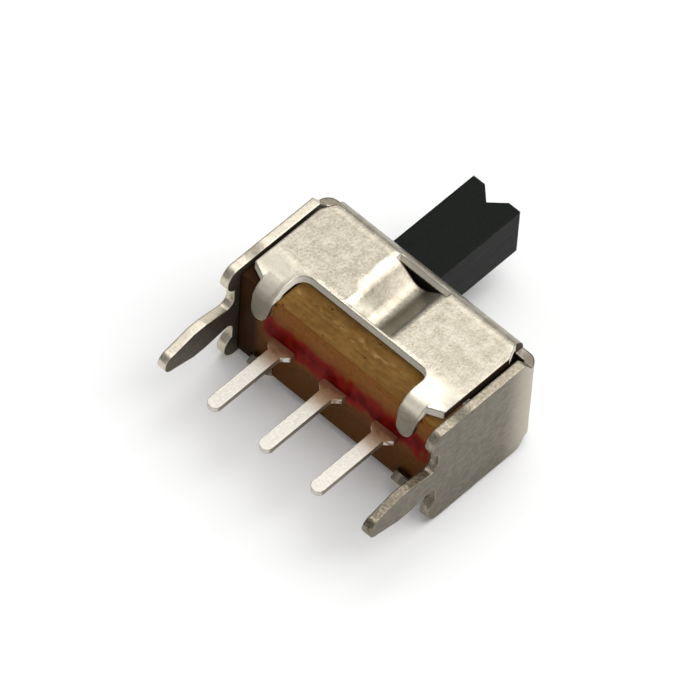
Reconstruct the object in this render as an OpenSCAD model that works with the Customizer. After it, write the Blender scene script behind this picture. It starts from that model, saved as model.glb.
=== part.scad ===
// Miniature slide switch: one pole, two throws, three blade terminals and two lugs.
// It lies on one long wall. X is the lever's travel, +Y points out of the lever's tip,
// -Y out of the terminals, and Z runs from one long wall to the other. The origin is
// under the centre of the part's box. Inside the modules Y is 0 on the top plate's outer
// face, Z is 0 on the mid plane, and in_frame() moves the finished piece to that origin.

/* [Cover] */
// Length over the outer faces of the two ears
cover_l = 12.3; // [11.9:0.1:13.2]
// Height over the outer faces of the two long walls
cover_h = 6.15; // [5.9:0.05:6.8]
// Sheet thickness
sheet = 0.45; // [0.35:0.05:0.5]
// Outside radius of the cover's main bends
bend_r = 0.6; // [0.55:0.05:0.8]
// Length of each long wall
wall_l = 10.94; // [10.5:0.02:11.2]
// Depth of a long wall's outer corners below the plate's outer face
wall_d = 5.17; // [4.95:0.01:5.3]
// Set-back of the long wall's edge between its claws
setback = 1.06; // [0.7:0.02:1.2]
// Corner radius of the set-back
setback_r = 0.55; // [0.2:0.05:0.7]

/* [Claws] */
// Distance from the middle to a claw's centre line
claw_x = 4.2; // [3.9:0.05:4.3]
// Width of a claw at its root
claw_w = 1.04; // [0.8:0.02:1.1]
// Width of a claw's round tip
claw_tip_w = 0.88; // [0.5:0.02:0.9]
// Depth that the wall's corners slope down to beside a claw
claw_root_d = 5.5; // [5.4:0.05:5.6]
// Depth where a claw starts to bend
claw_start_d = 5.08; // [5:0.02:5.12]
// Outside radius of the claw's bend
claw_r = 1.0; // [0.9:0.02:1.04]
// Angle that the two claws of the upper wall are folded through
claw_angle = 75; // [70:1:78]
// Angle that the two claws of the lower wall are folded through, which is less
low_claw_angle = 52; // [46:1:60]
// Straight length of a claw past its bend
claw_len = 1.02; // [0.96:0.02:1.2]

/* [Ears] */
// Height of an ear
ear_h = 5.92; // [5.6:0.02:6.1]
// Height of the neck that joins an ear to the plate
neck_h = 4.8; // [4.2:0.05:5]
// Depth where the chamfers start that widen the neck to the ear
neck_d = 0.55; // [0.5:0.01:0.6]
// Length of those chamfers down the ear
chamfer_d = 0.42; // [0.3:0.02:0.6]
// Depth of an ear's shoulders below the plate's outer face
shoulder_d = 6.53; // [6.3:0.01:6.8]
// Radius of an ear's shoulders
shoulder_r = 0.68; // [0.5:0.02:0.9]
// Rise of the saddle between a shoulder and the lug
saddle_rise = 0.43; // [0.3:0.01:0.5]
// Radius of the fillet between the saddle and the lug
lug_fillet_r = 0.42; // [0.3:0.02:0.45]
// Width of a lug at its narrow root
lug_root_w = 1.24; // [1.1:0.02:1.4]
// Width of a lug across its barb
lug_barb_w = 1.62; // [1.5:0.02:1.8]
// Depth where the barb is at its full width
lug_barb_d = 7.75; // [7.5:0.05:8]
// Length of the barb at that width
lug_barb_l = 0.7; // [0.4:0.05:0.9]
// Depth of a lug's tip below the plate's outer face
lug_d = 10.2; // [9.8:0.05:11]
// Width of a lug at its round tip
lug_tip_w = 1.0; // [0.8:0.02:1.2]

/* [Pressed ridges] */
// Depth of the groove pressed into each long wall
groove_depth = 0.72; // [0.6:0.02:0.8]
// Radius of the groove's floor
groove_r = 0.75; // [0.6:0.05:0.9]
// Slope of the groove's flanks
flank_angle = 36; // [32:1:42]
// Radius of the groove's two rims
rim_r = 0.5; // [0.3:0.05:0.6]
// Depth of the slit's upper edge, which starts the groove
slit_d = 0.5; // [0.48:0.01:0.6]
// Width of the slit
slit_w = 0.3; // [0.2:0.02:0.36]
// Depth of the groove's closed end
groove_end_d = 3.98; // [3.8:0.02:4]
// Length of the ramp at the closed end
ramp_l = 0.2; // [0.16:0.02:0.4]

/* [Slider] */
// Travel of the lever between its two positions
travel = 3.2; // [2.8:0.05:3.3]
// Width of the lever along its travel
lever_w = 2.71; // [2.2:0.01:3]
// Thickness of the lever across its travel
lever_t = 2.74; // [2:0.02:3]
// Height of the lever's tip above the plate's outer face
lever_out = 5.68; // [3:0.01:8]
// Width of the V notch across the lever's tip
vee_w = 1.4; // [0.6:0.02:1.8]
// Depth of the V notch
vee_d = 0.66; // [0.2:0.02:0.9]
// Depth of the carriage under the plate
carriage_d = 2.4; // [2:0.05:2.5]
// Thickness of the two sprung side beams
beam_t = 0.26; // [0.2:0.02:0.3]
// Play of the carriage on each side in the cover
play = 0.05; // [0.03:0.01:0.08]

/* [Terminal board] */
// Thickness of the board
board_t = 1.75; // [1.6:0.05:1.75]
// Depth of the board's outer face below the plate's outer face
board_d = 5.8; // [5.8:0.05:5.85]
// Gap around the board in the cover
board_gap = 0.03; // [0.02:0.01:0.06]

/* [Terminals] */
// Distance between neighbouring terminals
pitch = 3; // [2.8:0.1:3.2]
// Width of a blade
blade_w = 0.67; // [0.5:0.01:0.9]
// Thickness of a blade
blade_t = 0.3; // [0.2:0.02:0.4]
// Depth of a blade's tip below the plate's outer face
blade_d = 10.3; // [9:0.05:11.5]
// Width of the shoulder where a terminal leaves the board
root_w = 1.3; // [1:0.05:1.6]
// Reach of that shoulder past the board
root_out = 0.32; // [0.1:0.02:0.5]
// Width of the contact head inside the switch
head_w = 1.7; // [1.2:0.05:2]
// Height of the contact head across the travel
head_h = 1.5; // [1:0.05:2]
// Thickness of the contact head
head_t = 0.22; // [0.1:0.02:0.3]

/* [Moving contact] */
// Thickness of the contact spring's strip
clip_t = 0.12; // [0.08:0.01:0.16]
// Width of the strip across the travel
clip_w = 1.1; // [0.8:0.05:1.4]
// Radius of its two contact bumps
bump_r = 0.3; // [0.2:0.02:0.36]

/* [Varnish] */
// Thickness of the varnish that seals the terminals to the board
varnish_t = 0.06; // [0.04:0.01:0.12]
// Height of the varnish band across the row of terminals
varnish_h = 1.8; // [1.2:0.05:2]

/* [Hidden] */
$fn = 48;

// What a cutting tool reaches past the face it cuts, and how far joined solids overlap.
past = 1;
lap = 0.02;

inner_h = cover_h - 2 * sheet;
inner_l = cover_l - 2 * sheet;

// Inner and outer sides of a claw's root, and the depth of the edge between the claws.
claw_in_x = claw_x - claw_w / 2;
claw_out_x = claw_x + claw_w / 2;
setback_d = wall_d - setback;

// The tapered relief that frees each wall end from the ear's bend.
relief_w = 0.33;
relief_d = 1.25;
relief_mouth = 0.55;

// The groove's section: a round floor, two straight flanks and two round rims. The floor
// meets a flank at flank_x, rim_drop is where the flank meets its rim.
flank_x = groove_r * sin(flank_angle);
flank_drop = groove_depth - groove_r * (1 - cos(flank_angle));
rim_drop = rim_r * (1 - cos(flank_angle));
rim_in_x = flank_x + (flank_drop - rim_drop) / tan(flank_angle);
rim_x = rim_in_x + rim_r * sin(flank_angle);
groove_d = slit_d + slit_w;
slit_end = 0.04;
slit_l = 2 * (rim_x + slit_end);

// The same section one sheet deeper is the ridge inside the wall.
ridge_r = groove_r + sheet;
ridge_x = ridge_r * sin(flank_angle);
ridge_drop = groove_depth - groove_r + ridge_r * cos(flank_angle);
ridge_half_w = ridge_x + (ridge_drop - sheet) / tan(flank_angle);
ridge_peak = cover_h / 2 - groove_depth - sheet;

// The carriage stops on the ears' inner faces with its play left at each limit.
carriage_l = inner_l - travel - 2 * play;
carriage_h = inner_h - 2 * play;
carriage_top = sheet + play;
guide_in = travel / 2 + ridge_half_w + play;
guide_corner = 0.25;

// Each side beam carries a nose that rides over the ridge from one position to the other.
beam_gap = 0.15;
beam_out = ridge_peak - beam_gap;
beam_inset = 0.15;
nose_r = 0.5;
nose_inset = 0.3;
nose_top = ridge_peak - play;
core_gap = 0.35;
core_h = 2 * (beam_out - beam_t - core_gap);
slot_gap = 0.08;

board_in_d = board_d - board_t;
board_l = inner_l - 4 * board_gap;
board_h = inner_h - 2 * board_gap;

// A notch in the board ends where the inner face of a claw folded through angle a meets
// the board's outer face.
function notch_depth(a) = claw_r - (claw_r - sheet) * cos(a) - sheet - board_gap
    + (board_d - claw_start_d - (claw_r - sheet) * sin(a)) * tan(a);
notch_side = 0.08;
notch_w = claw_w + 2 * notch_side;

root_taper = 0.3;
head_corner_r = 0.3;

// The moving contact hangs in a pocket under the carriage, on the two inner heads.
clip_gap = 0.03;
clip_low = board_in_d - head_t - clip_gap;
clip_bump_x = pitch / 2;
clip_flat = 1.2;
clip_lip = 0.3;
pocket_end = 0.35;
pocket_l = 2 * (clip_bump_x + bump_r + pocket_end);
pocket_side = 0.05;
pocket_w = clip_w + 2 * pocket_side;
pocket_d = 0.5;

varnish_end = 0.5;

low_y = -max(blade_d, lug_d);
mid_y = (lever_out + low_y) / 2;

// Moves a piece from the plate's own axes to the part's origin under its box.
module in_frame() {
    translate([0, -mid_y, cover_h / 2]) children();
}

// Stands a flat drawing of the YZ plane up and gives it the width w along X.
module along_x(w) {
    rotate([90, 0, 90]) linear_extrude(w, center = true) children();
}

// Gives a flat drawing of the XZ plane the thickness t, from depth d down.
module at_depth(d, t) {
    translate([0, -d, 0]) rotate([90, 0, 0]) linear_extrude(t) children();
}

// A block of depth d below the X axis, half its corners round: the side view of a
// folded channel seen along its length, with the fold's radius r.
module channel_block(d, h, r) {
    translate([-d, -h / 2]) square([d - r, h]);
    translate([-r - lap, r - h / 2]) square([r + lap, h - 2 * r]);
    for (side = [-1, 1])
        translate([-r, side * (h / 2 - r)]) circle(r);
}

// The section of sheet folded down at both sides of a plate of height h.
module channel_section(d, h) {
    difference() {
        channel_block(d, h, bend_r);
        translate([-sheet, 0]) channel_block(d + past, h - 2 * sheet, bend_r - sheet);
    }
}

// Plan of a long wall: corners that slope down to the claws' roots, a set-back edge with
// round corners between the claws, and a relief at each end beside the ear's bend.
module wall_plan() {
    corner_x = claw_in_x - setback_r;
    difference() {
        union() {
            translate([-claw_in_x - lap, setback_r - setback_d])
                square([2 * (claw_in_x + lap), setback_d - setback_r]);
            translate([-corner_x, -setback_d]) square([2 * corner_x, setback_r + lap]);
            for (side = [0, 1]) mirror([side, 0]) {
                polygon([[claw_in_x, 0], [claw_in_x, -claw_start_d], [claw_out_x, -claw_start_d],
                         [claw_out_x, -claw_root_d], [wall_l / 2, -wall_d], [wall_l / 2, 0]]);
                setback_corner(corner_x);
            }
        }
        for (side = [0, 1]) mirror([side, 0])
            polygon([[wall_l / 2 + past, -relief_d], [wall_l / 2, -relief_d],
                     [wall_l / 2 - relief_w, -relief_mouth], [wall_l / 2 - relief_w, past],
                     [wall_l / 2 + past, past]]);
    }
}

// Metal left in the round corner where the set-back edge turns down into a claw.
module setback_corner(corner_x) {
    difference() {
        translate([corner_x, -setback_d - setback_r])
            square([setback_r + lap, 2 * setback_r + lap]);
        translate([corner_x, -setback_d - setback_r]) circle(setback_r);
    }
}

// Side view of an ear: neck, chamfers, round shoulders, saddles and the barbed lug.
module ear_side() {
    shoulder_c = shoulder_d - shoulder_r;
    saddle_d = shoulder_d - saddle_rise;
    saddle_h = ear_h - 2 * shoulder_r;
    translate([-neck_d - lap, -neck_h / 2]) square([neck_d + lap + past, neck_h]);
    polygon([[-neck_d, neck_h / 2], [-neck_d, -neck_h / 2],
             [-neck_d - chamfer_d, -ear_h / 2], [-shoulder_c, -ear_h / 2],
             [-shoulder_c, ear_h / 2], [-neck_d - chamfer_d, ear_h / 2]]);
    translate([-saddle_d, -saddle_h / 2]) square([saddle_d - shoulder_c + lap, saddle_h]);
    for (side = [-1, 1])
        translate([-shoulder_c, side * (ear_h / 2 - shoulder_r)]) circle(shoulder_r);
    lug_side(saddle_d);
}

// Side view of a lug: fillets at its root, a barb, and a taper to its round tip.
module lug_side(saddle_d) {
    fillet_d = saddle_d + lug_fillet_r;
    fillet_h = lug_root_w / 2 + lug_fillet_r;
    tip_r = lug_tip_w / 2;
    difference() {
        translate([-fillet_d, -fillet_h]) square([lug_fillet_r + lap, 2 * fillet_h]);
        for (side = [-1, 1]) translate([-fillet_d, side * fillet_h]) circle(lug_fillet_r);
    }
    for (side = [0, 1]) mirror([0, side])
        polygon([[lap - fillet_d, 0], [lap - fillet_d, lug_root_w / 2],
                 [-fillet_d, lug_root_w / 2], [-lug_barb_d, lug_barb_w / 2],
                 [-lug_barb_d - lug_barb_l, lug_barb_w / 2], [tip_r - lug_d, tip_r],
                 [tip_r - lug_d, 0]]);
    translate([tip_r - lug_d, 0]) circle(tip_r);
}

// Section of a groove pressed down from Y = 0: round floor, straight flanks, round rims.
module groove_section() {
    difference() {
        polygon([[-rim_x, past], [-rim_x, 0], [-rim_in_x, -rim_drop],
                 [-flank_x, -flank_drop], [flank_x, -flank_drop],
                 [rim_in_x, -rim_drop], [rim_x, 0], [rim_x, past]]);
        for (side = [0, 1]) mirror([side, 0])
            intersection() {
                translate([rim_x, -rim_r]) circle(rim_r);
                translate([rim_in_x, -rim_drop]) square([rim_x - rim_in_x, rim_drop]);
            }
    }
    arc_below(groove_r, groove_depth, flank_x, flank_drop);
}

// The part of a circle of radius r, whose lowest point is at -depth, under a chord at
// -drop that reaches half_w to each side.
module arc_below(r, depth, half_w, drop) {
    intersection() {
        translate([0, r - depth]) circle(r);
        translate([-half_w, -depth - past]) square([2 * half_w, depth + past - drop]);
    }
}

// What the press takes from a wall's outer face, which is at Z = 0: the slit, and the
// groove that runs from it to a ramp at its closed end.
module groove_cut() {
    at_depth(slit_d, slit_w)
        translate([-slit_l / 2, -sheet - lap]) square([slit_l, sheet + lap + past]);
    intersection() {
        at_depth(0, groove_end_d + past) groove_section();
        along_x(2 * rim_x + past)
            polygon([[-groove_d, past], [-groove_d, -groove_depth - lap],
                     [ramp_l - groove_end_d, -groove_depth - lap],
                     [ramp_l - groove_end_d, -groove_depth], [-groove_end_d, 0],
                     [-groove_end_d, past]]);
    }
}

// What the press pushes out of the wall's inner face.
module groove_ridge() {
    at_depth(groove_d, board_in_d - board_gap - groove_d) {
        polygon([[-ridge_half_w, -sheet], [-ridge_x, -ridge_drop], [ridge_x, -ridge_drop],
                 [ridge_half_w, -sheet], [ridge_half_w, -sheet / 2],
                 [-ridge_half_w, -sheet / 2]]);
        arc_below(ridge_r, groove_depth + sheet, ridge_x, ridge_drop);
    }
}

// A claw from the start of its bend on the wall's outer face, folded towards the board
// through angle a.
module claw(a) {
    tip_r = claw_tip_w / 2;
    translate([0, 0, -claw_r]) along_x(claw_w) {
        translate([-lap, claw_r - sheet]) square([2 * lap, sheet]);
        intersection() {
            difference() {
                circle(claw_r);
                circle(claw_r - sheet);
            }
            polygon([[0, 0], [0, 2 * claw_r], [-2 * claw_r, 2 * claw_r],
                     2 * claw_r * [-sin(a), cos(a)]]);
        }
    }
    translate([0, -claw_r * sin(a), claw_r * cos(a) - claw_r])
        rotate([a, 0, 0])
        translate([0, 0, -sheet])
        linear_extrude(sheet) {
            polygon([[-claw_w / 2, lap], [claw_w / 2, lap], [claw_w / 2, 0],
                     [tip_r, tip_r - claw_len], [-tip_r, tip_r - claw_len],
                     [-claw_w / 2, 0]]);
            translate([0, tip_r - claw_len]) circle(tip_r);
        }
}

// Cover: one folded sheet with two long walls, two ears with lugs, four claws, the slot
// for the lever and a ridge pressed into each long wall.
module cover() {
    color([0.80, 0.77, 0.71]) in_frame() difference() {
        union() {
            intersection() {
                along_x(wall_l) channel_section(claw_root_d, cover_h);
                linear_extrude(cover_h + past, center = true) wall_plan();
            }
            intersection() {
                linear_extrude(ear_h, center = true)
                    rotate(90) channel_section(lug_d + past, cover_l);
                along_x(cover_l + past) ear_side();
            }
            for (face = [0, 1]) mirror([0, 0, face]) translate([0, 0, cover_h / 2]) {
                for (side = [-1, 1])
                    translate([side * claw_x, -claw_start_d, 0])
                        claw(face == 0 ? claw_angle : low_claw_angle);
                groove_ridge();
            }
        }
        for (face = [0, 1]) mirror([0, 0, face]) translate([0, 0, cover_h / 2]) groove_cut();
        cube([travel + lever_w + 2 * slot_gap, 4 * sheet, lever_t + 2 * slot_gap],
             center = true);
    }
}

// Slider: the lever and its carriage in one moulding, drawn about the lever's own middle.
module slider() {
    guide_l = carriage_l / 2 - guide_in;
    low = carriage_top + carriage_d;
    color([0.12, 0.12, 0.12]) in_frame() translate([-travel / 2, 0, 0]) {
        difference() {
            union() {
                at_depth(carriage_top, carriage_d)
                    square([carriage_l, core_h], center = true);
                for (side = [-1, 1])
                    translate([side * (guide_in + guide_l / 2), 0, 0])
                    along_x(guide_l)
                    translate([-low, 0]) guide_section();
            }
            translate([0, pocket_d / 2 - low - past / 2, 0])
                cube([pocket_l, pocket_d + past, pocket_w], center = true);
        }
        for (face = [0, 1]) mirror([0, 0, face]) {
            at_depth(carriage_top + beam_inset, carriage_d - 2 * beam_inset)
                translate([-guide_in - lap, beam_out - beam_t])
                square([2 * (guide_in + lap), beam_t]);
            at_depth(carriage_top + nose_inset, carriage_d - 2 * nose_inset)
                intersection() {
                    translate([0, nose_top - nose_r]) circle(nose_r);
                    translate([-nose_r, beam_out - beam_t]) square(2 * nose_r);
                }
        }
        lever();
    }
}

// End view of a guide: the carriage's full height with its upper corners cut off, so
// that they clear the inside of the cover's bends.
module guide_section() {
    polygon([[0, -carriage_h / 2], [carriage_d - guide_corner, -carriage_h / 2],
             [carriage_d, guide_corner - carriage_h / 2],
             [carriage_d, carriage_h / 2 - guide_corner],
             [carriage_d - guide_corner, carriage_h / 2], [0, carriage_h / 2]]);
}

// Lever: a square post with a V notch across its tip.
module lever() {
    root = carriage_top + lap;
    linear_extrude(lever_t, center = true)
        polygon([[-lever_w / 2, -root], [lever_w / 2, -root], [lever_w / 2, lever_out],
                 [vee_w / 2, lever_out], [0, lever_out - vee_d], [-vee_w / 2, lever_out],
                 [-lever_w / 2, lever_out]]);
}

// Moving contact: a bent spring strip that bridges two neighbouring contact heads. It
// sits in the carriage's pocket and slides with it.
module moving_contact() {
    top = carriage_top + carriage_d - pocket_d;
    bump_y = -clip_low + bump_r;
    arm_dx = clip_bump_x - bump_r - clip_flat / 2 + clip_t;
    arm_dy = -top - bump_y;
    arm_l = norm([arm_dx, arm_dy]);
    arm_a = atan2(arm_dy, arm_dx);
    color([0.80, 0.62, 0.35]) in_frame() translate([-travel / 2, 0, 0])
        linear_extrude(clip_w, center = true) {
            translate([-clip_flat / 2, -top - clip_t]) square([clip_flat, clip_t]);
            for (side = [0, 1]) mirror([side, 0]) {
                translate([clip_bump_x, bump_y]) difference() {
                    circle(bump_r);
                    circle(bump_r - clip_t);
                    translate([-bump_r, 0]) square([2 * bump_r, bump_r]);
                }
                translate([clip_flat / 2 - clip_t / 2, -top - clip_t])
                    rotate(-arm_a) square([arm_l, clip_t]);
                translate([clip_bump_x + bump_r - clip_t, bump_y - lap])
                    square([clip_t, clip_lip]);
            }
        }
}

// Terminal board: punched laminate with a notch for each claw and a slit for each blade.
module terminal_board() {
    color([0.49, 0.35, 0.16]) in_frame() at_depth(board_in_d, board_t)
        difference() {
            square([board_l, board_h], center = true);
            for (side = [-1, 1]) translate([side * claw_x - notch_w / 2, 0]) {
                translate([0, board_h / 2 - notch_depth(claw_angle)])
                    square([notch_w, notch_depth(claw_angle) + past]);
                translate([0, -board_h / 2 - past])
                    square([notch_w, notch_depth(low_claw_angle) + past]);
            }
            for (i = [-1, 0, 1])
                translate([i * pitch, 0])
                    square([root_w + 2 * board_gap, blade_t + 2 * board_gap], center = true);
        }
}

// Terminal in the place of number i, counted from the middle one: contact head inside,
// shank through the board, shoulder and round-ended blade outside.
module terminal(i) {
    tip_r = blade_w / 2;
    root_d = board_d + root_out;
    color([0.90, 0.88, 0.80]) in_frame() translate([i * pitch, 0, 0]) {
        at_depth(board_in_d - head_t, head_t) contact_head();
        linear_extrude(blade_t, center = true) {
            translate([-root_w / 2, -root_d]) square([root_w, root_d - board_in_d + lap]);
            polygon([[-root_w / 2, -root_d], [root_w / 2, -root_d],
                     [tip_r, -root_d - root_taper], [tip_r, tip_r - blade_d],
                     [-tip_r, tip_r - blade_d], [-tip_r, -root_d - root_taper]]);
            translate([0, tip_r - blade_d]) circle(tip_r);
        }
    }
}

// Contact head: the flattened inner end of a terminal, with round corners.
module contact_head() {
    square([head_w, head_h - 2 * head_corner_r], center = true);
    square([head_w - 2 * head_corner_r, head_h], center = true);
    for (side = [-1, 1], face = [-1, 1])
        translate([side * (head_w / 2 - head_corner_r), face * (head_h / 2 - head_corner_r)])
            circle(head_corner_r);
}

module terminal_1() { terminal(-1); }

module terminal_2() { terminal(0); }

module terminal_3() { terminal(1); }

// Varnish: a thin band over the row of terminal roots, open around each shoulder.
module terminal_varnish() {
    end_r = varnish_h / 2;
    reach = pitch + root_w / 2 + varnish_end;
    color([0.45, 0.06, 0.07]) in_frame() at_depth(board_d, varnish_t)
        difference() {
            union() {
                square([2 * reach, varnish_h], center = true);
                for (side = [-1, 1]) translate([side * reach, 0]) circle(end_r);
            }
            for (i = [-1, 0, 1])
                translate([i * pitch, 0])
                    square([root_w + 2 * board_gap, blade_t + 2 * board_gap], center = true);
        }
}

cover();
slider();
moving_contact();
terminal_board();
terminal_1();
terminal_2();
terminal_3();
terminal_varnish();
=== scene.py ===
import math

import bpy
import numpy as np
from mathutils import Matrix, Vector


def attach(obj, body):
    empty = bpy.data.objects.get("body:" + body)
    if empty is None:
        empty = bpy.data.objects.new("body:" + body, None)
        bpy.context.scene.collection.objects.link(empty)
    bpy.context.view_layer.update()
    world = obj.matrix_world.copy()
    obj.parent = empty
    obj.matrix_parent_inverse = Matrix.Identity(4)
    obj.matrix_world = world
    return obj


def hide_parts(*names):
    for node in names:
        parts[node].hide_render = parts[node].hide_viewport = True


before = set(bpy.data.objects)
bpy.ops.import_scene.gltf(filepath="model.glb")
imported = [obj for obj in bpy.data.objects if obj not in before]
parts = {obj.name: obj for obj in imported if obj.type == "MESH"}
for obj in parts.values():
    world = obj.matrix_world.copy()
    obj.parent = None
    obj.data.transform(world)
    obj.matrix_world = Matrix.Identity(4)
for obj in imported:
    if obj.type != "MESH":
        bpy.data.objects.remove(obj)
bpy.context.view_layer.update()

MM = 0.001

# ---------------------------------------------------------------- Cover
# One piece of cold rolled steel strip, 0.45 mm thick, punched, folded into a channel with
# two ears and plated dull nickel all over after folding. Its claws hold the board.
# The sheared edges show brighter than the faces: partly their own paler tone, partly painted
# highlight.
MID_Z = 3.075            # height of the part's mid plane, in mm
PLATE_Y = 2.31           # outer face of the plate that the lever comes through, in mm
EAR_X = 5.6              # beyond this the sheet belongs to an ear, in mm
CLAW_X = 4.2             # distance of a claw's centre line from the middle, in mm
BOARD_FACE_Y = -3.49     # outer face of the board, in mm
RIM_X = 1.35             # half the width of the pressed groove, in mm
FLANK_X = 1.14           # where its flanks turn straight, in mm
GROOVE_TOP_Y = 1.8       # upper edge of the slit, where the groove starts, in mm
SHEET_T = 0.45           # thickness of the strip, in mm
WALL_UP = 2.5            # beyond this from the mid plane the sheet is a long wall, in mm
WALL_END_X = 5.45        # where the long walls end, in mm
SETBACK_Y = -1.8         # edge of a long wall between its claws, in mm
NICKEL = (0.385, 0.342, 0.262)
NICKEL_PALE = (0.590, 0.545, 0.450)
NICKEL_SHADE = (0.128, 0.116, 0.087)
NICKEL_SHADE_PALE = (0.196, 0.178, 0.136)
NICKEL_FLANK_SHADE = (0.150, 0.142, 0.122)
NICKEL_SHADED_MID = (0.300, 0.262, 0.200)
NICKEL_PIT = (0.230, 0.198, 0.148)
SHEARED_AND_HIGHLIGHT = (0.690, 0.620, 0.500)
PALE_HIGHLIGHT = (0.900, 0.840, 0.700)
WALL_EDGE_HIGHLIGHT = (0.970, 0.910, 0.780)
RECESS_SHADE_BROWN = (0.034, 0.014, 0.005)
RIGHT_EDGE_BROWN = (0.165, 0.140, 0.100)


class Finish:
    """A node material with short calls for the nodes that every finish here is built from.
    A link or a plain value can be given for any input."""

    def __init__(self, name):
        self.material = bpy.data.materials.new(name)
        self.material.use_nodes = True
        self.tree = self.material.node_tree
        self.tree.nodes.clear()
        self.output = self.tree.nodes.new("ShaderNodeOutputMaterial")
        self.shader = self.tree.nodes.new("ShaderNodeBsdfPrincipled")
        self.tree.links.new(self.shader.outputs[0], self.output.inputs["Surface"])
        coords = self.tree.nodes.new("ShaderNodeTexCoord")
        scale = self.tree.nodes.new("ShaderNodeMapping")
        scale.inputs["Scale"].default_value = (1 / MM,) * 3
        self.tree.links.new(coords.outputs["Object"], scale.inputs["Vector"])
        self.mm = scale.outputs[0]
        self.x, self.y, self.z = self.split(self.mm)

    def put(self, socket, value):
        """Links value to the socket if it is a link's start, and sets it otherwise."""
        if isinstance(value, bpy.types.NodeSocket):
            self.tree.links.new(value, socket)
        elif isinstance(value, tuple) and len(value) == 3 and socket.type == "RGBA":
            socket.default_value = (*value, 1.0)
        else:
            socket.default_value = value

    def split(self, vector):
        """The x, y and z of a vector."""
        made = self.tree.nodes.new("ShaderNodeSeparateXYZ")
        self.put(made.inputs[0], vector)
        return made.outputs[0], made.outputs[1], made.outputs[2]

    def figure(self, kind, *values, clamp=False):
        """A Math node: kind is its operation, values are its inputs."""
        made = self.tree.nodes.new("ShaderNodeMath")
        made.operation = kind
        made.use_clamp = clamp
        for socket, value in zip(made.inputs, values):
            self.put(socket, value)
        return made.outputs[0]

    def plus(self, total, *others):
        """The sum of all values."""
        for other in others:
            total = self.figure("ADD", total, other)
        return total

    def times(self, product, *others):
        """The product of all values. Where they are masks, it is 1 where all of them are."""
        for other in others:
            product = self.figure("MULTIPLY", product, other)
        return product

    def most(self, first, second):
        """The larger of two values."""
        return self.figure("MAXIMUM", first, second)

    def size(self, value):
        """The value without its sign."""
        return self.figure("ABSOLUTE", value)

    def ramp(self, value, low, high, to_low=0.0, to_high=1.0):
        """Goes smoothly from to_low, where value is low, to to_high, where it is high."""
        made = self.tree.nodes.new("ShaderNodeMapRange")
        made.interpolation_type = "SMOOTHSTEP"
        for socket, number in zip(made.inputs[:5], (value, low, high, to_low, to_high)):
            self.put(socket, number)
        return made.outputs[0]

    def noise(self, size, detail=3.0, roughness=0.55, stretch=(1, 1, 1), shift=0.0):
        """Noise whose lumps are about size mm across, drawn out by stretch."""
        place = self.tree.nodes.new("ShaderNodeMapping")
        place.inputs["Scale"].default_value = tuple(1 / (size * s) for s in stretch)
        place.inputs["Location"].default_value = (shift,) * 3
        self.put(place.inputs["Vector"], self.mm)
        made = self.tree.nodes.new("ShaderNodeTexNoise")
        made.inputs["Scale"].default_value = 1.0
        made.inputs["Detail"].default_value = detail
        made.inputs["Roughness"].default_value = roughness
        self.put(made.inputs["Vector"], place.outputs[0])
        return made.outputs[0]

    def blend(self, share, first, second):
        """The colour first where share is 0 and second where it is 1."""
        made = self.tree.nodes.new("ShaderNodeMix")
        made.data_type = "RGBA"
        self.put(made.inputs[0], share)
        self.put(made.inputs[6], first)
        self.put(made.inputs[7], second)
        return made.outputs[2]

    def facing(self):
        """The x, y and z of the face's own normal, without any smoothing."""
        return self.split(self.tree.nodes.new("ShaderNodeNewGeometry").outputs["True Normal"])

    def rounded(self, radius):
        """Normal of the piece with its edges rounded by radius, in mm."""
        made = self.tree.nodes.new("ShaderNodeBevel")
        made.samples = 8
        made.inputs["Radius"].default_value = radius * MM
        return made.outputs[0]

    def edges(self, radius):
        """1 on the edges within radius, in mm, and 0 on the flats between them."""
        made = self.tree.nodes.new("ShaderNodeVectorMath")
        made.operation = "DOT_PRODUCT"
        self.put(made.inputs[0], self.rounded(radius))
        self.put(made.inputs[1], self.tree.nodes.new("ShaderNodeNewGeometry").outputs["Normal"])
        return self.ramp(made.outputs["Value"], 0.995, 0.80)

    def relief(self, height, normal=None):
        """Bump by height in mm over the given normal, or over the piece's own."""
        made = self.tree.nodes.new("ShaderNodeBump")
        made.inputs["Strength"].default_value = 1.0
        made.inputs["Distance"].default_value = MM
        self.put(made.inputs["Height"], height)
        if normal is not None:
            self.put(made.inputs["Normal"], normal)
        return made.outputs[0]

    def wear(self, **inputs):
        """Sets the shader's own inputs, such as base_color, roughness or normal."""
        for name, value in inputs.items():
            wanted = name.replace("_", " ")
            socket = next(s for s in self.shader.inputs if s.name.lower() == wanted)
            self.put(socket, value)
        return self.material


def give(obj, material):
    """Puts one material in every slot of a piece."""
    if not obj.material_slots:
        obj.data.materials.append(material)
    for place in obj.material_slots:
        place.material = material


plating = Finish("nickel_plated_steel")
px, py, pz = plating.x, plating.y, plating.z
up = plating.size(plating.figure("SUBTRACT", pz, MID_Z))
across = plating.size(px)
nx, _, nz = plating.facing()
sideways, upright = plating.size(nx), plating.size(nz)
wall = plating.ramp(up, WALL_UP - 0.05, WALL_UP + 0.05)
ear = plating.ramp(across, EAR_X - 0.02, EAR_X + 0.02)
between_ears = plating.ramp(across, EAR_X, EAR_X - 0.1)

# The faces: a fine dull grain, and slow clouds where the plating is thicker.
grain = plating.noise(0.10, detail=3.0, roughness=0.5)
cloud = plating.noise(0.55, detail=3.0, roughness=0.5, shift=4.0)
tone = plating.plus(plating.ramp(grain, 0.30, 0.70, 0.0, 0.55),
                    plating.ramp(cloud, 0.33, 0.68, 0.0, 0.45))
face = plating.blend(tone, NICKEL, NICKEL_PALE)
pit = plating.ramp(plating.noise(0.15, detail=3.0, roughness=0.6, shift=14.0), 0.34, 0.22)
face = plating.blend(plating.times(pit, 0.5), face, NICKEL_PIT)
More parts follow.
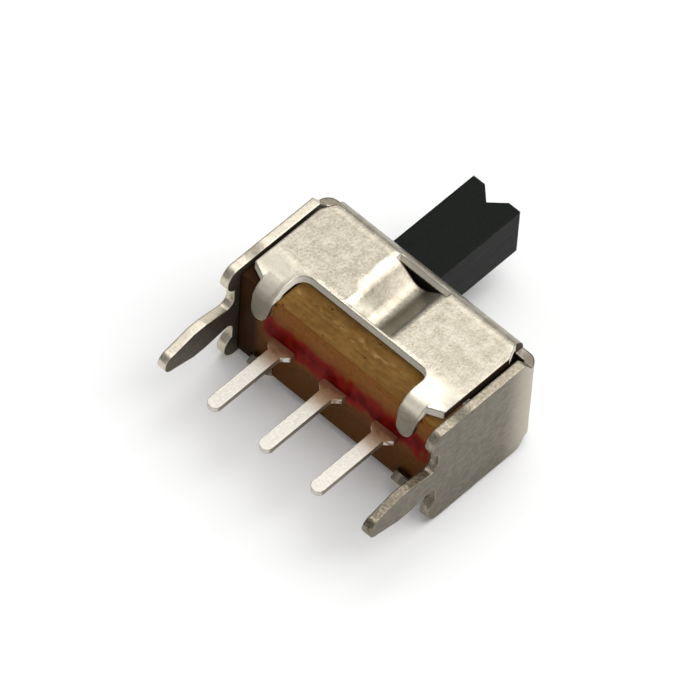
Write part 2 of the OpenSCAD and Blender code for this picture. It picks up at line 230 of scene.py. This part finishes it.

# The ears' outer faces and the folded claws are painted darker, as painted shade, and the ears'
# faces are painted lighter towards the plate, as painted light.
smear = plating.noise(0.24, detail=4.0, roughness=0.6, stretch=(1.0, 1.5, 0.9), shift=7.0)
ear_face = plating.times(ear, plating.ramp(sideways, 0.90, 0.99))
claw_face = plating.times(plating.ramp(py, BOARD_FACE_Y + 0.10, BOARD_FACE_Y - 0.25),
                          between_ears)
shaded_and_dull = plating.most(ear_face, plating.times(claw_face, 0.75))
painted_light_near_plate = plating.times(ear_face, plating.ramp(py, 0.0, 2.2, 0.0, 0.95))
painted_shade = plating.blend(plating.ramp(smear, 0.32, 0.68), NICKEL_SHADE, NICKEL_SHADE_PALE)
painted_shade = plating.blend(painted_light_near_plate, painted_shade, NICKEL_PALE)
face = plating.blend(plating.times(shaded_and_dull, 0.92), face, painted_shade)

# The groove's right flank is painted darker, as painted shade. Its left flank is mottled and
# painted darker, partly as painted shade, and its left rim and its closed end are painted pale,
# as painted highlight.
bend_x = plating.split(plating.rounded(0.22))[0]
groove = plating.times(plating.ramp(across, RIM_X + 0.15, RIM_X - 0.05),
                       plating.ramp(up, WALL_UP - 0.25, WALL_UP - 0.18),
                       plating.ramp(py, GROOVE_TOP_Y + 0.1, GROOVE_TOP_Y - 0.1))
flank_shade = plating.times(groove, plating.ramp(bend_x, -0.10, -0.50))
face = plating.blend(plating.times(flank_shade, 0.72), face, NICKEL_FLANK_SHADE)
# The left flank is mottled and painted darker, partly as painted shade.
mottle_and_shade = plating.times(groove, plating.ramp(bend_x, 0.05, 0.26),
                        plating.ramp(smear, 0.34, 0.62, 0.58, 0.10))
face = plating.blend(mottle_and_shade, face, NICKEL_SHADED_MID)
rim = plating.times(plating.ramp(plating.plus(px, plating.times(cloud, 1.5)), -1.15, -0.70),
                    plating.ramp(px, -1.22, -1.36), wall,
                    plating.ramp(py, -1.15, -0.45), plating.ramp(py, 1.65, 1.35))
closed_end = plating.times(groove, plating.ramp(px, -0.10, -0.60),
                           plating.ramp(py, -0.70, -1.10))
# Painted highlight on the groove's left rim and its closed end.
rim_highlight = plating.times(plating.most(rim, plating.times(closed_end, 0.6)),
                          plating.ramp(cloud, 0.34, 0.56, 0.15, 0.85))
face = plating.blend(rim_highlight, face, PALE_HIGHLIGHT)

# The roots of the claws are painted pale, as painted highlight, the left ones the most.
claw_root_highlight = plating.times(plating.ramp(across, CLAW_X - 1.30, CLAW_X - 0.35),
                       plating.ramp(py, -1.45, -2.35), plating.ramp(py, -3.72, -3.42),
                       between_ears, plating.ramp(px, -1.0, 1.0, 1.0, 0.80))
face = plating.blend(claw_root_highlight, face, PALE_HIGHLIGHT)

# The ears' insides and the ends of the walls, in the recess beside the board, are painted dark
# brown, as painted shade.
recess_shade_share = plating.times(ear, plating.ramp(across, EAR_X + 0.14, EAR_X + 0.06),
                       plating.ramp(sideways, 0.6, 0.9), plating.ramp(
                           plating.plus(py, plating.times(cloud, 1.2)), -5.2, -3.6, 0.45, 0.97))
wall_end = plating.times(plating.ramp(sideways, 0.6, 0.8),
                         plating.ramp(across, EAR_X, EAR_X - 0.06),
                         plating.ramp(across, WALL_END_X - 0.45, WALL_END_X - 0.35))
recess_shade_share = plating.most(recess_shade_share, plating.times(wall_end, 0.95))
face = plating.blend(recess_shade_share, face, RECESS_SHADE_BROWN)

# The ears' sheared edges are paler, partly their own tone and partly painted highlight, with
# the drag lines of the punch across them. The walls' lip above the board, their cut faces and
# all edges are painted pale, as painted highlight. The right ear's edge and its lug's edge are
# darker and browner. The walls' top corners are painted darker, as painted shade.
cut_wall = plating.times(wall, plating.ramp(upright, 0.30, 0.15),
                         plating.ramp(py, PLATE_Y - SHEET_T + 0.02, PLATE_Y - SHEET_T - 0.02),
                         plating.ramp(across, WALL_END_X + 0.01, WALL_END_X - 0.01))
cut_ear = plating.times(ear, plating.ramp(sideways, 0.30, 0.15))
drag = plating.noise(0.14, detail=3.0, stretch=(1.0, 0.7, 1.0), shift=2.0)
face = plating.blend(plating.times(cut_ear, plating.ramp(drag, 0.28, 0.58, 0.45, 1.0)),
                     face, SHEARED_AND_HIGHLIGHT)
# Painted highlight along the walls' edge above the board.
lip_highlight = plating.times(plating.ramp(py, SETBACK_Y + 0.3, SETBACK_Y + 0.1), wall,
                    plating.ramp(across, CLAW_X - 0.9, CLAW_X - 1.3))
face = plating.blend(plating.times(lip_highlight, plating.ramp(drag, 0.3, 0.6, 0.25, 0.60)),
                     face, PALE_HIGHLIGHT)
# The walls' cut faces are painted pale, as painted highlight.
face = plating.blend(cut_wall, face, WALL_EDGE_HIGHLIGHT)
# All edges are painted paler, as painted highlight.
face = plating.blend(plating.times(plating.edges(0.06), 0.40), face, SHEARED_AND_HIGHLIGHT)
# The right ear's edge and its lug's edge are darker and browner.
darker_right_edge = plating.figure("ADD", plating.ramp(py, -3.9, -5.2, 0.68, 0.92),
                        plating.ramp(drag, 0.30, 0.70, 0.12, -0.16), clamp=True)
darker_right_edge = plating.times(darker_right_edge, cut_ear, plating.ramp(px, 5.0, 5.4))
face = plating.blend(darker_right_edge, face, RIGHT_EDGE_BROWN)
# The walls' top corners are painted darker, as painted shade.
corner_top = plating.times(plating.ramp(py, 1.45, 1.95), plating.ramp(across, 5.25, 5.50),
                           plating.ramp(nz, 0.90, 0.98))
face = plating.blend(plating.times(corner_top, 0.8), face, NICKEL_SHADED_MID)

# The wall sinks gently towards each claw, swells where it starts to bend into the plate,
# and rolls over softly into the groove's left rim. Its sheared edges lean a little.
beside = plating.most(plating.ramp(px, 1.35 - CLAW_X, 0.25 - CLAW_X),
                      plating.ramp(px, CLAW_X - 1.45, EAR_X + 0.2))
sink = plating.times(plating.ramp(py, -1.5, -3.3, 0.0, -0.48), beside)
swell = plating.plus(plating.ramp(py, 1.42, 1.66, 0.0, 0.018),
                     plating.ramp(py, 1.62, 2.45, 0.0, -0.14))
roll = plating.times(plating.ramp(px, -1.80, -FLANK_X, 0.0, -0.12),
                     plating.ramp(px, 0.45, -FLANK_X), plating.ramp(py, -1.15, 0.8))
shape = plating.times(plating.plus(sink, swell, roll), plating.ramp(upright, 0.30, 0.70))
lean = plating.times(cut_wall, plating.times(up, -1.3))
normal = plating.relief(plating.plus(shape, lean), plating.rounded(0.12))
texture = plating.plus(plating.times(grain, 0.0055), plating.times(cloud, 0.012),
                       plating.times(drag, cut_ear, 0.005))
normal = plating.relief(texture, normal)
rough = plating.plus(plating.ramp(grain, 0.3, 0.7, 0.31, 0.41),
                     plating.times(plating.most(shaded_and_dull, claw_root_highlight), 0.10))
bare = plating.figure("SUBTRACT", plating.ramp(recess_shade_share, 0.1, 0.9, 1.0, 0.1),
                      plating.times(cut_wall, 0.85), clamp=True)
give(parts["cover"], plating.wear(
    base_color=face, metallic=bare, roughness=rough, specular_ior_level=0.12, normal=normal))

# ---------------------------------------------------------------- Slider
# Lever and carriage, moulded in one piece of black nylon. The lever's end is cut to a V
# for a fingernail. Its long sides show the fine spark texture of the mould.
nylon = Finish("black_nylon")
NYLON = (0.0040, 0.0054, 0.0042)
NYLON_GREY = (0.0118, 0.0143, 0.0116)
NYLON_WORN = (0.0450, 0.0460, 0.0420)
spark = nylon.noise(0.06, detail=3.0, roughness=0.6)
flow = nylon.noise(0.9, detail=2.0, stretch=(1.0, 3.0, 1.0))
rub = nylon.times(nylon.edges(0.09), nylon.ramp(nylon.noise(0.25), 0.38, 0.62))
skin = nylon.blend(nylon.ramp(spark, 0.35, 0.75), NYLON, NYLON_GREY)
skin = nylon.blend(nylon.times(rub, 0.30), skin, NYLON_WORN)
height = nylon.plus(nylon.times(spark, 0.006), nylon.times(flow, 0.03))
give(parts["slider"], nylon.wear(
    base_color=skin, specular_ior_level=0.08, roughness=nylon.ramp(spark, 0.3, 0.7, 0.42, 0.56),
    normal=nylon.relief(height, nylon.rounded(0.12))))

# ---------------------------------------------------------------- Moving contact
# Strip of phosphor bronze, bent to a bridge with two round bumps that join two of the
# terminals' heads. It lies loose in the carriage's pocket and slides with it.
bronze = Finish("phosphor_bronze")
BRONZE = (0.600, 0.360, 0.170)
BRONZE_PALE = (0.780, 0.520, 0.280)
rolled = bronze.noise(0.05, stretch=(12.0, 1.0, 1.0))
give(parts["moving_contact"], bronze.wear(
    base_color=bronze.blend(bronze.ramp(rolled, 0.3, 0.7), BRONZE, BRONZE_PALE),
    metallic=1.0, roughness=bronze.ramp(rolled, 0.3, 0.7, 0.22, 0.36),
    normal=bronze.relief(bronze.times(rolled, 0.008), bronze.rounded(0.03))))

# ---------------------------------------------------------------- Terminal board
# Paper laminate soaked in phenolic resin, punched out warm. Its faces are smooth, dark
# and a little glossy; its sides broke under the punch and show pale paper fibres.
laminate = Finish("phenolic_laminate")
RESIN_DARK = (0.104, 0.040, 0.009)
RESIN = (0.284, 0.108, 0.024)
RESIN_SIDE = (0.122, 0.060, 0.015)
RESIN_SIDE_PALE = (0.205, 0.108, 0.030)
FIBRE = (0.330, 0.215, 0.075)
DARK_SPOTS_AND_SHADE = (0.026, 0.010, 0.004)
STREAK_IN = 2.45         # how far the side's pale streak lies towards the face, in mm


def left_end_shade(finish):
    """Share of painted shade on the board: none over most of it, and nearly all at its left
    end.
    """
    return finish.times(finish.ramp(finish.x, -4.30, -4.85), 0.93)


def resin_face(finish):
    """Colour of the board's flat faces: golden at the top and darker below, as painted shade,
    with soft clouds, small dark specks and a left end darkened as painted shade."""
    clouds = finish.noise(0.50, detail=4.0, roughness=0.6, shift=3.0)
    height = finish.plus(finish.z, finish.times(clouds, 2.6))
    colour = finish.blend(finish.ramp(height, 3.3, 6.6), RESIN_DARK, RESIN)
    specks = finish.noise(0.22, detail=3.0, roughness=0.6, shift=9.0)
    colour = finish.blend(finish.ramp(specks, 0.45, 0.75, 0.0, 0.35), colour, DARK_SPOTS_AND_SHADE)
    return finish.blend(left_end_shade(finish), colour, DARK_SPOTS_AND_SHADE)


broken = laminate.ramp(laminate.size(laminate.split(laminate.rounded(0.26))[1]), 0.95, 0.25)
fibres = laminate.noise(0.14, detail=3.0, roughness=0.55, stretch=(6.0, 1.0, 1.0))
weave = laminate.noise(0.45, detail=4.0, roughness=0.6, shift=3.0)
side_colour = laminate.blend(laminate.plus(laminate.ramp(fibres, 0.30, 0.70, 0.0, 0.5),
                                           laminate.ramp(weave, 0.34, 0.66, 0.5, 0.0)),
                             RESIN_SIDE, RESIN_SIDE_PALE)

# A pale streak of bare paper wanders along the side, and small dark pits lie all over it.
wander = laminate.times(laminate.figure("SUBTRACT", laminate.noise(0.9, shift=6.0), 0.5), 0.9)
streak_off = laminate.size(laminate.plus(laminate.y, STREAK_IN, wander))
torn = laminate.noise(0.26, detail=2.0, stretch=(2.2, 1.0, 1.0), shift=1.0)
streak = laminate.times(laminate.ramp(streak_off, 0.24, 0.0), laminate.ramp(torn, 0.45, 0.72))
side_colour = laminate.blend(laminate.times(streak, 0.8), side_colour, FIBRE)
pits = laminate.noise(0.24, detail=2.0, stretch=(1.8, 1.0, 1.0), shift=8.0)
side_colour = laminate.blend(laminate.ramp(pits, 0.64, 0.80), side_colour, DARK_SPOTS_AND_SHADE)
side_colour = laminate.blend(left_end_shade(laminate), side_colour, DARK_SPOTS_AND_SHADE)
height = laminate.plus(laminate.times(fibres, laminate.ramp(broken, 0.0, 1.0, 0.004, 0.030)),
                       laminate.times(streak, 0.03))
give(parts["terminal_board"], laminate.wear(
    base_color=laminate.blend(broken, resin_face(laminate), side_colour),
    specular_ior_level=0.03, roughness=laminate.ramp(broken, 0.0, 1.0, 0.50, 0.80),
    normal=laminate.relief(height, laminate.rounded(0.24))))

# ---------------------------------------------------------------- Terminals
# Three blades of brass strip, punched to a shoulder, a blade and a round end, silvered
# by immersion and staked through the board. Flux leaves them brown next to the board.
TERMINAL_PITCH = 3.0     # distance between neighbouring terminals, in mm
SILVER = (0.550, 0.520, 0.460)
SILVER_PALE = (0.660, 0.635, 0.575)
SILVER_GLINT = (0.900, 0.880, 0.820)
SILVER_FLANK = (0.260, 0.200, 0.140)
FLUX_BROWN = (0.350, 0.185, 0.080)
VARNISH_CREEP = (0.200, 0.022, 0.012)
silvering = Finish("silvered_brass")
sideways = silvering.size(silvering.facing()[0])
bloom = silvering.noise(0.13, detail=4.0, roughness=0.6)
metal = silvering.blend(silvering.ramp(bloom, 0.32, 0.68), SILVER, SILVER_PALE)
tide = silvering.times(silvering.figure("SUBTRACT", bloom, 0.5), 0.9)
stain = silvering.times(silvering.ramp(silvering.plus(silvering.y, tide), -5.3, -3.95), 0.92)
metal = silvering.blend(stain, metal, FLUX_BROWN)

# The sheared flanks are darker, and the tapers of the shoulders are painted pale in patches, as
# painted glint.
flank = silvering.ramp(sideways, 0.86, 0.96)
metal = silvering.blend(silvering.times(flank, 0.75), metal, SILVER_FLANK)
taper = silvering.times(silvering.ramp(sideways, 0.45, 0.6),
                        silvering.ramp(sideways, 0.84, 0.76),
                        silvering.ramp(silvering.y, -4.6, -4.5))
glint_patches = silvering.ramp(silvering.noise(0.20, detail=2.0, shift=3.0), 0.44, 0.56, 0.12, 1.0)
metal = silvering.blend(silvering.times(taper, glint_patches), metal, SILVER_GLINT)

# A little varnish has crept out along each shoulder.
edge_off = silvering.times(silvering.figure(
    "SUBTRACT", silvering.noise(0.5, detail=2.0, shift=2.0), 0.5), 1.6)
creep = silvering.ramp(silvering.plus(silvering.y, edge_off), -4.05, -3.65)
metal = silvering.blend(silvering.times(creep, 0.45), metal, VARNISH_CREEP)
silvering.wear(base_color=metal, metallic=silvering.ramp(stain, 0.2, 0.9, 1.0, 0.35),
               roughness=silvering.ramp(bloom, 0.3, 0.7, 0.36, 0.48), specular_ior_level=0.12,
               normal=silvering.relief(silvering.times(bloom, 0.010), silvering.rounded(0.04)))
for name in ("terminal_1", "terminal_2", "terminal_3"):
    give(parts[name], silvering.material)

# ---------------------------------------------------------------- Terminal varnish
# Clear red varnish, dabbed on with a brush to lock the terminals in the board. It soaks
# into the board's face as a thin uneven skin, and creeps up each shoulder in a fillet.
SKIN_T = 0.030           # thickness of one full dab, in mm
SKIN_PROUD = 0.006       # least height of the skin over the board, in mm
SKIN_SUNK = 0.010        # how far its back lies inside the board, in mm
SKIN_X = 5.38            # half its length, just short of the ears, in mm
SKIN_LOW, SKIN_HIGH = 2.25, 5.35    # its lower and upper edge, in mm
BAND_LOW, BAND_HIGH = 2.62, 4.95    # where its full band starts and ends, in mm
SKIN_COLUMNS, SKIN_ROWS = 361, 105
DAB_FROM_X = -3.85       # the first dab of the brush, in mm
DAB_PITCH = 0.66         # distance between neighbouring dabs, in mm
DAB_Z = 3.66             # height of the row of dabs, in mm
DAB_W, DAB_H = 0.28, 0.42           # half width and half height of a dab, in mm
SHOULDER_HALF = 0.66     # half the width of a terminal's shoulder, in mm
BLADE_HALF = 0.16        # half its thickness, in mm
LACQUER_THIN = (0.190, 0.030, 0.010)    # where the board's brown shows through
LACQUER = (0.220, 0.006, 0.005)
LACQUER_THICK = (0.110, 0.001, 0.001)
LACQUER_STREAK = (0.320, 0.012, 0.010)


def soft_step(value, low, high):
    """0 below low, 1 above high, and between them 3t^2 - 2t^3, where t is the share."""
    t = np.clip((value - low) / (high - low), 0, 1)
    return t * t * (3 - 2 * t)


def waves(u, v, seed, size, count=24):
    """Sum of count sine waves in seeded directions, each about size mm long, scaled so
    that it stays mostly within -1 to 1."""
    rng = np.random.default_rng(seed)
    angle = rng.uniform(0, 2 * np.pi, count)
    rate = 2 * np.pi / (size * rng.uniform(0.6, 1.9, count))
    phase = rng.uniform(0, 2 * np.pi, count)
    run = (u[..., None] * np.cos(angle) + v[..., None] * np.sin(angle)) * rate + phase
    return np.sin(run).sum(-1) / math.sqrt(count) / 1.6


def closed_skin(name, x, z, top, back):
    """Closed skin on a grid of two parameters: the outer sheet at y = top and the back
    sheet at y = back over the same x and z, joined round the rim by a strip of quads."""
    rows, cols = x.shape
    outer = np.stack([x, top, z], -1).reshape(-1, 3)
    inner = np.stack([x, back, z], -1).reshape(-1, 3)
    i = np.arange(rows * cols).reshape(rows, cols)
    quads = np.stack([i[:-1, :-1], i[:-1, 1:], i[1:, 1:], i[1:, :-1]], -1).reshape(-1, 4)
    rim = np.concatenate([i[0, :-1], i[:-1, -1], i[-1, :0:-1], i[:0:-1, 0]])
    following = np.roll(rim, -1)
    n = rows * cols
    strip = np.stack([following, rim, rim + n, following + n], -1)
    mesh = bpy.data.meshes.new(name)
    mesh.from_pydata((np.concatenate([outer, inner]) * MM).tolist(), [],
                     np.concatenate([quads, quads[:, ::-1] + n, strip]).tolist())
    mesh.polygons.foreach_set("use_smooth", np.ones(len(mesh.polygons), bool))
    made = bpy.data.objects.new(name, mesh)
    bpy.context.scene.collection.objects.link(made)
    return made


# The film's thickness, where 1 is a full dab: a band with two wavy edges, uneven along its
# run and thicker at each dab, with a thin haze above and below and a fillet round each
# shoulder. It fades out at the left end and stops at the right one.
x, z = np.meshgrid(np.linspace(-SKIN_X, SKIN_X, SKIN_COLUMNS),
                   np.linspace(SKIN_LOW, SKIN_HIGH, SKIN_ROWS))
along = np.abs((x + TERMINAL_PITCH / 2) % TERMINAL_PITCH - TERMINAL_PITCH / 2)
rng = np.random.default_rng(7)
dab_x = np.arange(DAB_FROM_X, SKIN_X, DAB_PITCH)
dab_x = dab_x + rng.uniform(-0.16, 0.16, dab_x.size)
dab_z = DAB_Z + rng.uniform(-0.28, 0.28, dab_x.size)
dabs = np.exp(-((x[..., None] - dab_x) / DAB_W) ** 2 - ((z[..., None] - dab_z) / DAB_H) ** 2)
upper = soft_step(BAND_HIGH - z + 0.18 * waves(x, z, 6, 1.1), 0.0, 1.15)
lower = soft_step(z - BAND_LOW + 0.26 * waves(x, 0 * z, 8, 0.9), 0.0, 0.65)
haze = soft_step(SKIN_HIGH - z, 0.0, 1.15) * soft_step(z - SKIN_LOW, 0.0, 0.60)
ends = soft_step(x, -4.60, -3.90) * soft_step(-x, -SKIN_X, 0.2 - SKIN_X)
fillet = np.exp(-(np.maximum(along - SHOULDER_HALF, 0) / 0.10)
                - np.maximum(np.abs(z - MID_Z) - BLADE_HALF, 0) / 0.12)
film = (upper * lower * (0.46 + 0.20 * waves(x, z, 11, 0.7) + 0.60 * dabs.sum(-1))
        + 0.18 * haze + 0.35 * fillet) * ends
film = np.maximum(film, 0)
top = BOARD_FACE_Y - SKIN_PROUD - SKIN_T * film
back = np.full_like(x, BOARD_FACE_Y + SKIN_SUNK)
varnish = closed_skin("varnish_skin", x, z, top, back)
depth = varnish.data.attributes.new("film", "FLOAT", "POINT")
depth.data.foreach_set("value", np.concatenate([film.ravel(), film.ravel()]).astype(np.float32))
lacquer = Finish("red_varnish")
film_node = lacquer.tree.nodes.new("ShaderNodeAttribute")
film_node.attribute_name = "film"
film_share = film_node.outputs["Fac"]
streaks = lacquer.noise(0.40, detail=3.0, stretch=(0.8, 1.0, 1.5), shift=5.0)
red = lacquer.blend(lacquer.ramp(film_share, 0.20, 0.60), LACQUER_THIN, LACQUER)
red = lacquer.blend(lacquer.ramp(film_share, 0.60, 1.30), red, LACQUER_THICK)
red = lacquer.blend(lacquer.ramp(streaks, 0.50, 0.70, 0.0, 0.45), red, LACQUER_STREAK)
soaked = lacquer.ramp(film_share, 0.0, 0.75, 0.0, 0.97)
give(varnish, lacquer.wear(
    base_color=lacquer.blend(soaked, resin_face(lacquer), red),
    roughness=0.45, specular_ior_level=0.03,
    normal=lacquer.relief(lacquer.times(streaks, 0.02))))
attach(varnish, "housing")
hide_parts("terminal_varnish")

# ---------------------------------------------------------------- Table top
# Smooth white card under the part, which lies on it with one long wall. It shows a little
# brighter than its lamps make it, so that its far end meets the white behind it.
TABLE_SIZE = 0.9         # length of its sides, in metres
TABLE_DROP = 0.01 * MM   # how far it lies under the part, in metres
TABLE_GLOW = 0.06
MIRRORED_SHARE = 0.3     # how much of that glow shows in metal


def card_sheet(name, size, drop):
    """Flat square of the given size, its height drop below the part's lowest face."""
    u, v = np.meshgrid(np.linspace(-size / 2, size / 2, 3), np.linspace(-size / 2, size / 2, 3))
    points = np.stack([u, v, np.full_like(u, -drop)], -1).reshape(-1, 3)
    i = np.arange(9).reshape(3, 3)
    quads = np.stack([i[:-1, :-1], i[:-1, 1:], i[1:, 1:], i[1:, :-1]], -1).reshape(-1, 4)
    mesh = bpy.data.meshes.new(name)
    mesh.from_pydata(points.tolist(), [], quads.tolist())
    made = bpy.data.objects.new(name, mesh)
    bpy.context.scene.collection.objects.link(made)
    return made


card = card_sheet("white_card", TABLE_SIZE, TABLE_DROP)
paper = Finish("white_paper")
paper.wear(base_color=(0.88, 0.88, 0.878), roughness=0.9, specular_ior_level=0.1)
glow = paper.tree.nodes.new("ShaderNodeEmission")
sight = paper.tree.nodes.new("ShaderNodeLightPath")
mirrored = paper.times(sight.outputs["Is Glossy Ray"], MIRRORED_SHARE)
seen = paper.most(sight.outputs["Is Camera Ray"],
                  paper.most(mirrored, sight.outputs["Is Transmission Ray"]))
paper.put(glow.inputs["Strength"], paper.times(seen, TABLE_GLOW))
both = paper.tree.nodes.new("ShaderNodeAddShader")
paper.tree.links.new(paper.shader.outputs[0], both.inputs[0])
paper.tree.links.new(glow.outputs[0], both.inputs[1])
paper.tree.links.new(both.outputs[0], paper.output.inputs["Surface"])
give(card, paper.material)

# ---------------------------------------------------------------- Light
# A pale tent, dim near the table and in front, under one large soft box that hangs
# overhead and a little behind. A card in front fills the shadows, and a narrow strip
# behind the lever draws a thin line along the cover's bends.
world = bpy.data.worlds.new("white_tent")
bpy.context.scene.world = world
world.use_nodes = True
sky = world.node_tree
sky.nodes.clear()
direction = sky.nodes.new("ShaderNodeTexCoord")
heading = sky.nodes.new("ShaderNodeSeparateXYZ")
sky.links.new(direction.outputs["Generated"], heading.inputs[0])


def tent_shade(axis, low, high, to_low, to_high):
    """Goes smoothly from to_low to to_high as the direction's axis goes from low to high."""
    made = sky.nodes.new("ShaderNodeMapRange")
    made.interpolation_type = "SMOOTHSTEP"
    for socket, number in zip(made.inputs[1:5], (low, high, to_low, to_high)):
        socket.default_value = number
    sky.links.new(heading.outputs[axis], made.inputs[0])
    return made.outputs[0]


level = sky.nodes.new("ShaderNodeMath")
level.operation = "MULTIPLY"
sky.links.new(tent_shade("Z", 0.0, 0.80, 0.34, 0.66), level.inputs[0])
sky.links.new(tent_shade("Y", -0.75, 0.20, 0.25, 1.0), level.inputs[1])

# The camera itself sees the tent as plain white.
ray = sky.nodes.new("ShaderNodeLightPath")
pick = sky.nodes.new("ShaderNodeMix")
sky.links.new(ray.outputs["Is Camera Ray"], pick.inputs[0])
sky.links.new(level.outputs[0], pick.inputs[2])
pick.inputs[3].default_value = 1.0
tent = sky.nodes.new("ShaderNodeBackground")
tent.inputs["Color"].default_value = (1, 1, 1, 1)
sky.links.new(pick.outputs[0], tent.inputs["Strength"])
out = sky.nodes.new("ShaderNodeOutputWorld")
sky.links.new(tent.outputs[0], out.inputs["Surface"])


def soft_box(name, toward, distance, size, level):
    """Square lamp of the given size in metres, at distance along toward, aimed at the
    part. Level is its brightness, where white card is 1, so its power is pi * level * area."""
    lamp = bpy.data.lights.new(name, "AREA")
    lamp.shape = "SQUARE"
    lamp.size = size
    lamp.energy = math.pi * level * size * size
    holder = bpy.data.objects.new(name, lamp)
    bpy.context.scene.collection.objects.link(holder)
    away = Vector(toward).normalized()
    holder.matrix_world = (Matrix.Translation(away * distance)
                           @ away.to_track_quat("Z", "Y").to_matrix().to_4x4())


LAMP_DISTANCE = 0.30     # how far each lamp hangs from the part, in metres
soft_box("box_overhead", (0.16, 0.32, 1.0), LAMP_DISTANCE, size=0.33, level=2.42)
soft_box("card_in_front", (0.12, -1.0, 0.47), LAMP_DISTANCE, size=0.22, level=0.9)
soft_box("strip_behind", (-0.35, 0.75, 0.56), LAMP_DISTANCE, size=0.035, level=2.5)

# ---------------------------------------------------------------- Camera
# A long lens that looks down at the part from the front right. It stands far away, so
# that edges stay nearly parallel, and is turned a little about its own line of sight.
AZIMUTH, ELEVATION, ROLL = (math.radians(a) for a in (40.201, 53.968, 4.329))
VIEWPOINT = (150.996, -181.430, 326.706)    # where the camera stands, in mm
FOCAL_LENGTH = 489.6     # in mm, on a sensor 36 mm wide
back_axis = Vector((math.sin(AZIMUTH) * math.cos(ELEVATION),
                    -math.cos(AZIMUTH) * math.cos(ELEVATION), math.sin(ELEVATION)))
level_axis = Vector((math.cos(AZIMUTH), math.sin(AZIMUTH), 0))
rise_axis = back_axis.cross(level_axis)
right_axis = level_axis * math.cos(ROLL) + rise_axis * math.sin(ROLL)
up_axis = rise_axis * math.cos(ROLL) - level_axis * math.sin(ROLL)
lens = bpy.data.cameras.new("long_lens")
lens.lens = FOCAL_LENGTH
lens.sensor_width = 36.0
lens.clip_start = 0.01
viewer = bpy.data.objects.new("long_lens", lens)
bpy.context.scene.collection.objects.link(viewer)
turn = Matrix((right_axis, up_axis, back_axis)).transposed().to_4x4()
viewer.matrix_world = Matrix.Translation(Vector(VIEWPOINT) * MM) @ turn
bpy.context.scene.camera = viewer
bpy.context.scene.view_settings.view_transform = "Standard"
